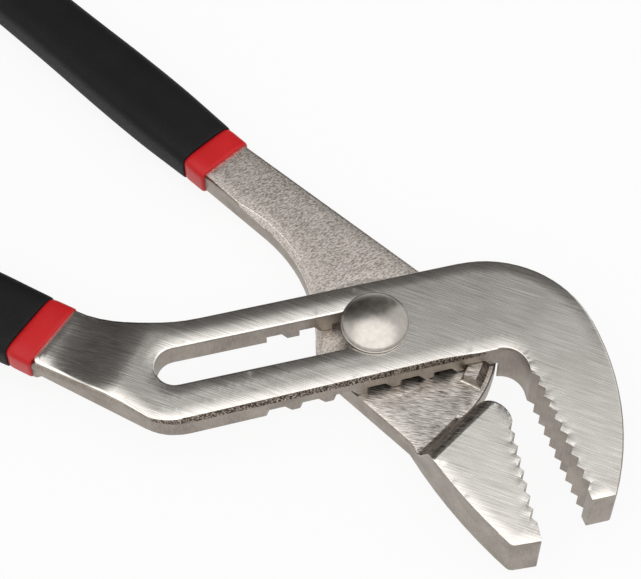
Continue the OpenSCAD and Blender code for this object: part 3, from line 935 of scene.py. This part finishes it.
@dataclass
class Grip:
    """A dipped grip: a red layer that shows as a collar, and a thicker black one over it.

    Sizes are in millimetres. The grip runs along its frame's X axis from the collar's mouth.
    """

    side: str
    body: Body
    mouth: tuple[float, float, float]
    angle: float
    # Slant of the mouth in degrees, and the extra width there
    lean: float
    extra: float
    length: float = 141.0
    collar_len: float = 5.6
    collar: tuple[float, float] = (13.0, 8.2)
    sleeve: tuple[float, float] = (14.6, 10.4)
    # Length over which the extra width runs out, and share of the sleeve over which the slant does
    spread_len: float = 60.0
    lean_share: float = 0.2
    # Squareness of the layers' sections
    collar_power: float = 5.5
    sleeve_power: float = 4.0
    sides: int = 48

    def loft(self, stations: Sequence[tuple[float, float, float, float]], power: float) -> BMesh:
        """Bridge rounded sections, and close both ends.

        Args:
            stations: Each section's place, width, thickness and share of the mouth's slant.
            power: The sections' squareness.

        Returns:
            The closed mesh, in place on the tool.
        """
        bm = bmesh.new()
        rings: list[list[BMEdge]] = []
        slant = math.tan(math.radians(self.lean))
        for place, width, thickness, share in stations:
            ring = bmesh.ops.create_circle(bm, cap_ends=False, radius=1, segments=self.sides)["verts"]
            width += self.extra * max(0.0, 1 - place / self.spread_len)
            for vert in ring:
                x, y = (math.copysign(abs(c) ** (2 / power), c) for c in vert.co.xy)
                side = x * width / 2
                vert.co = Vector((place + side * slant * share, side, y * thickness / 2)) * MM
            rings.append(list(dict.fromkeys(e for v in ring for e in v.link_edges)))
        for first, second in zip(rings, rings[1:]):
            bmesh.ops.bridge_loops(bm, edges=first + second)
        bmesh.ops.contextual_create(bm, geom=rings[0])
        bmesh.ops.contextual_create(bm, geom=rings[-1])
        bmesh.ops.recalc_face_normals(bm, faces=bm.faces)
        turn = Matrix.Translation(Vector(self.mouth) * MM) @ Matrix.Rotation(math.radians(self.angle), 4, "Z")
        bmesh.ops.transform(bm, matrix=turn, verts=bm.verts)
        return bm

    def build(self, red: bpy.types.Material, black: bpy.types.Material) -> None:
        """Build and dress both layers."""
        w, t = self.collar
        # Places from the mouth, each with its shares of the width and the thickness
        band = [(0.0, 0.8, 0.7), (0.0, 0.95, 0.86), (0.1, 0.98, 0.9), (0.4, 1, 0.93), (0.8, 1, 0.93),
                (2.2, 1, 0.94), (3.6, 1, 0.95), (self.collar_len + 2, 1, 0.95)]
        inner = [(place, a * (w + 0.2), b * t, 1) for place, a, b in band]
        liner = self.loft(inner, self.collar_power)
        self.soften(make_piece(f"{self.side}_grip_liner", liner, self.body, [red]))
        w, t = self.sleeve
        full = self.length - self.collar_len
        # Shares of the length, the width and the thickness
        shares = [(0, 0.91, 0.8), (0, 0.925, 0.855), (0.0026, 0.938, 0.885), (0.02, 0.945, 0.905),
                  (0.045, 0.96, 0.935), (0.085, 0.99, 0.98), (0.14, 1, 1), (0.22, 0.99, 1),
                  (0.3, 0.945, 0.98), (0.4, 0.925, 0.97), (0.5, 0.93, 0.975), (0.6, 0.94, 0.98),
                  (0.7, 0.965, 0.99), (0.8, 0.985, 1), (0.88, 0.99, 1), (0.93, 0.985, 0.99),
                  (0.965, 0.94, 0.94), (0.987, 0.84, 0.83), (0.997, 0.7, 0.68), (1, 0.5, 0.46)]
        outer = [(self.collar_len + s * full, a * w, b * t, max(0.0, 1 - s / self.lean_share))
                 for s, a, b in shares]
        sleeve = self.loft(outer, self.sleeve_power)
        self.soften(make_piece(f"{self.side}_grip_sleeve", sleeve, self.body, [black]))

    @staticmethod
    def soften(piece: bpy.types.Object) -> None:
        """Smooth a layer as one moulded skin."""
        skin = piece.modifiers.new("moulded_skin", "SUBSURF")
        skin.levels = skin.render_levels = 2


# ---------------------------------------------------------------- studio


@dataclass
class Studio:
    """Plain pale floor, soft light and the photograph's camera."""

    # The camera's place in millimetres, the directions that it looks in and that are right in its picture
    eye: tuple[float, float, float] = (110.7, -172.1, 384.7)
    look: tuple[float, float, float] = (-0.2868, 0.4096, -0.866)
    right: tuple[float, float, float] = (0.81915, 0.57358, 0.0)
    # Its focal length, its picture's width and its axis' place across the picture, in pixels
    focal_px: float = 2100
    frame_px: int = 641
    centre_px: float = 335
    # Strength of the world as light and as background, and the share of the floor that glows when seen
    light: float = 0.62
    background: float = 1.0
    floor_glow: float = 0.9

    def camera(self) -> None:
        """Stand the camera where the photograph was taken."""
        data = bpy.data.cameras.new("photo_camera")
        data.sensor_fit, data.sensor_width, data.clip_start = "HORIZONTAL", 36, 0.01
        data.lens = data.sensor_width * self.focal_px / self.frame_px
        data.shift_x = (self.frame_px / 2 - self.centre_px) / self.frame_px
        camera = bpy.data.objects.new("photo_camera", data)
        back, right = -Vector(self.look).normalized(), Vector(self.right)
        turn = Matrix((right, back.cross(right), back)).transposed().to_4x4()
        camera.matrix_world = Matrix.Translation(Vector(self.eye) * MM) @ turn
        bpy.context.collection.objects.link(camera)
        bpy.context.scene.camera = camera

    def seen(self, tree: bpy.types.NodeTree) -> bpy.types.NodeSocket:
        """Tell, in a node tree, whether the camera, a reflection or a clear piece looks."""
        path = add_node(tree, "ShaderNodeLightPath").outputs
        mirror = add_node(tree, "ShaderNodeMath", {
            0: path["Is Glossy Ray"], 1: path["Is Transmission Ray"]}, operation="MAXIMUM").outputs[0]
        return add_node(tree, "ShaderNodeMath", {
            0: path["Is Camera Ray"], 1: mirror}, operation="MAXIMUM").outputs[0]

    def floor(self) -> None:
        """Lay a white floor, which keeps a soft shadow."""
        material, tree = bare_material("white_sweep")
        share = add_node(tree, "ShaderNodeMath", {
            0: self.seen(tree), 1: self.floor_glow}, operation="MULTIPLY")
        paint = add_node(tree, "ShaderNodeBsdfDiffuse", {"Color": linear("#F4F4F4")})
        glow = add_node(tree, "ShaderNodeEmission", {"Strength": 1.0})
        mixed = add_node(tree, "ShaderNodeMixShader", {
            0: share.outputs[0], 1: paint.outputs[0], 2: glow.outputs[0]})
        add_node(tree, "ShaderNodeOutputMaterial", {"Surface": mixed.outputs[0]})
        bm = bmesh.new()
        bmesh.ops.create_grid(bm, x_segments=1, y_segments=1, size=3)
        mesh = bpy.data.meshes.new("floor")
        bm.to_mesh(mesh)
        bm.free()
        mesh.materials.append(material)
        floor = bpy.data.objects.new("floor", mesh)
        bpy.context.collection.objects.link(floor)

    def lamp(self, name: str, place: tuple[float, float, float], size: tuple[float, float],
             power: float) -> None:
        """Hang a soft box that faces the tool.

        Args:
            name: Its name.
            place: Its place in metres.
            size: Its width and height in metres.
            power: Its power in watts.
        """
        data = bpy.data.lights.new(name, "AREA")
        data.shape, data.energy = "RECTANGLE", power
        data.size, data.size_y = size
        lamp = bpy.data.objects.new(name, data)
        lamp.location = place
        lamp.rotation_euler = Vector(place).to_track_quat("Z", "Y").to_euler()
        bpy.context.collection.objects.link(lamp)

    def card(self, name: str, angle: float, away: float, size: tuple[float, float], colour: str,
             whole: float) -> None:
        """Stand a matt card upright on the floor, seen only in the tool's reflections.

        Args:
            name: Its name.
            angle: Its direction from the tool, in degrees.
            away: Its distance from the tool in metres.
            size: Its width and height in metres.
            colour: Its colour.
            whole: The height in metres above which it thins out towards its top.
        """
        material, tree = bare_material(name)
        paint = add_node(tree, "ShaderNodeBsdfDiffuse", {"Color": linear(colour)})
        clear = add_node(tree, "ShaderNodeBsdfTransparent")
        spot = add_node(tree, "ShaderNodeTexCoord").outputs["Object"]
        height = add_node(tree, "ShaderNodeSeparateXYZ", {0: spot}).outputs["Z"]
        thin = add_node(tree, "ShaderNodeMapRange", {
            "Value": height, "From Min": whole, "From Max": size[1]}, interpolation_type="SMOOTHSTEP")
        mixed = add_node(tree, "ShaderNodeMixShader", {
            0: thin.outputs[0], 1: paint.outputs[0], 2: clear.outputs[0]})
        add_node(tree, "ShaderNodeOutputMaterial", {"Surface": mixed.outputs[0]})
        bm = bmesh.new()
        bmesh.ops.create_grid(bm, x_segments=1, y_segments=1, size=0.5)
        bmesh.ops.scale(bm, vec=(*size, 1), verts=bm.verts)
        place = heading(angle) * away + Vector((0, 0, size[1] / 2))
        turn = Matrix.Rotation(math.radians(angle - 90), 4, "Z") @ Matrix.Rotation(math.radians(90), 4, "X")
        bmesh.ops.transform(bm, matrix=Matrix.Translation(place) @ turn, verts=bm.verts)
        mesh = bpy.data.meshes.new(name)
        bm.to_mesh(mesh)
        bm.free()
        mesh.materials.append(material)
        card = bpy.data.objects.new(name, mesh)
        card.visible_camera = card.visible_shadow = card.visible_diffuse = False
        bpy.context.collection.objects.link(card)

    def build(self) -> None:
        """Set the whole studio up."""
        bpy.context.scene.view_settings.view_transform = "Standard"
        self.camera()
        self.floor()
        world = bpy.data.worlds.new("studio")
        bpy.context.scene.world = world
        world.use_nodes = True
        world.node_tree.nodes.clear()
        tree = world.node_tree
        level = add_node(tree, "ShaderNodeMapRange", {
            "Value": self.seen(tree), "To Min": self.light, "To Max": self.background})
        sky = add_node(tree, "ShaderNodeBackground", {"Strength": level.outputs[0]})
        add_node(tree, "ShaderNodeOutputWorld", {"Surface": sky.outputs[0]})
        self.lamp("overhead_box", place=(0.1, -0.2, 0.9), size=(1.6, 1.2), power=5.5)
        self.card("far_card", angle=140, away=0.9, size=(1.9, 2.05), colour="#6C6A68", whole=1.5)
        self.card("left_card", angle=157, away=0.6, size=(0.45, 0.8), colour="#2A2725", whole=0.1)


def main() -> None:
    """Build the studio and the pieces, in order."""
    logging.basicConfig(level=logging.INFO, format="%(message)s")
    Studio().build()
    finishes = (BrushedNickel(), ForgedFlank(), TrimmedEdge(), BlastedNickel(), RibbedNickel())
    nickel = [finish.make() for finish in finishes]
    red, black = RED_VINYL.make(), BLACK_VINYL.make()
    SlottedHalf().build(nickel)
    TongueHalf().build(nickel)
    Pivot().build(PolishedSteel().make(), PlatedSteel().make())
    front = Grip("front", Body.SLOTTED, mouth=(-52.17, -38.38, 11.5), angle=187.6, lean=7.0, extra=2.6)
    back = Grip("back", Body.TONGUE, mouth=(-50.74, 17.48, 7.525), angle=171.3, lean=3.5, extra=0.0)
    for grip in (front, back):
        grip.build(red, black)


if __name__ == "__main__":
    main()
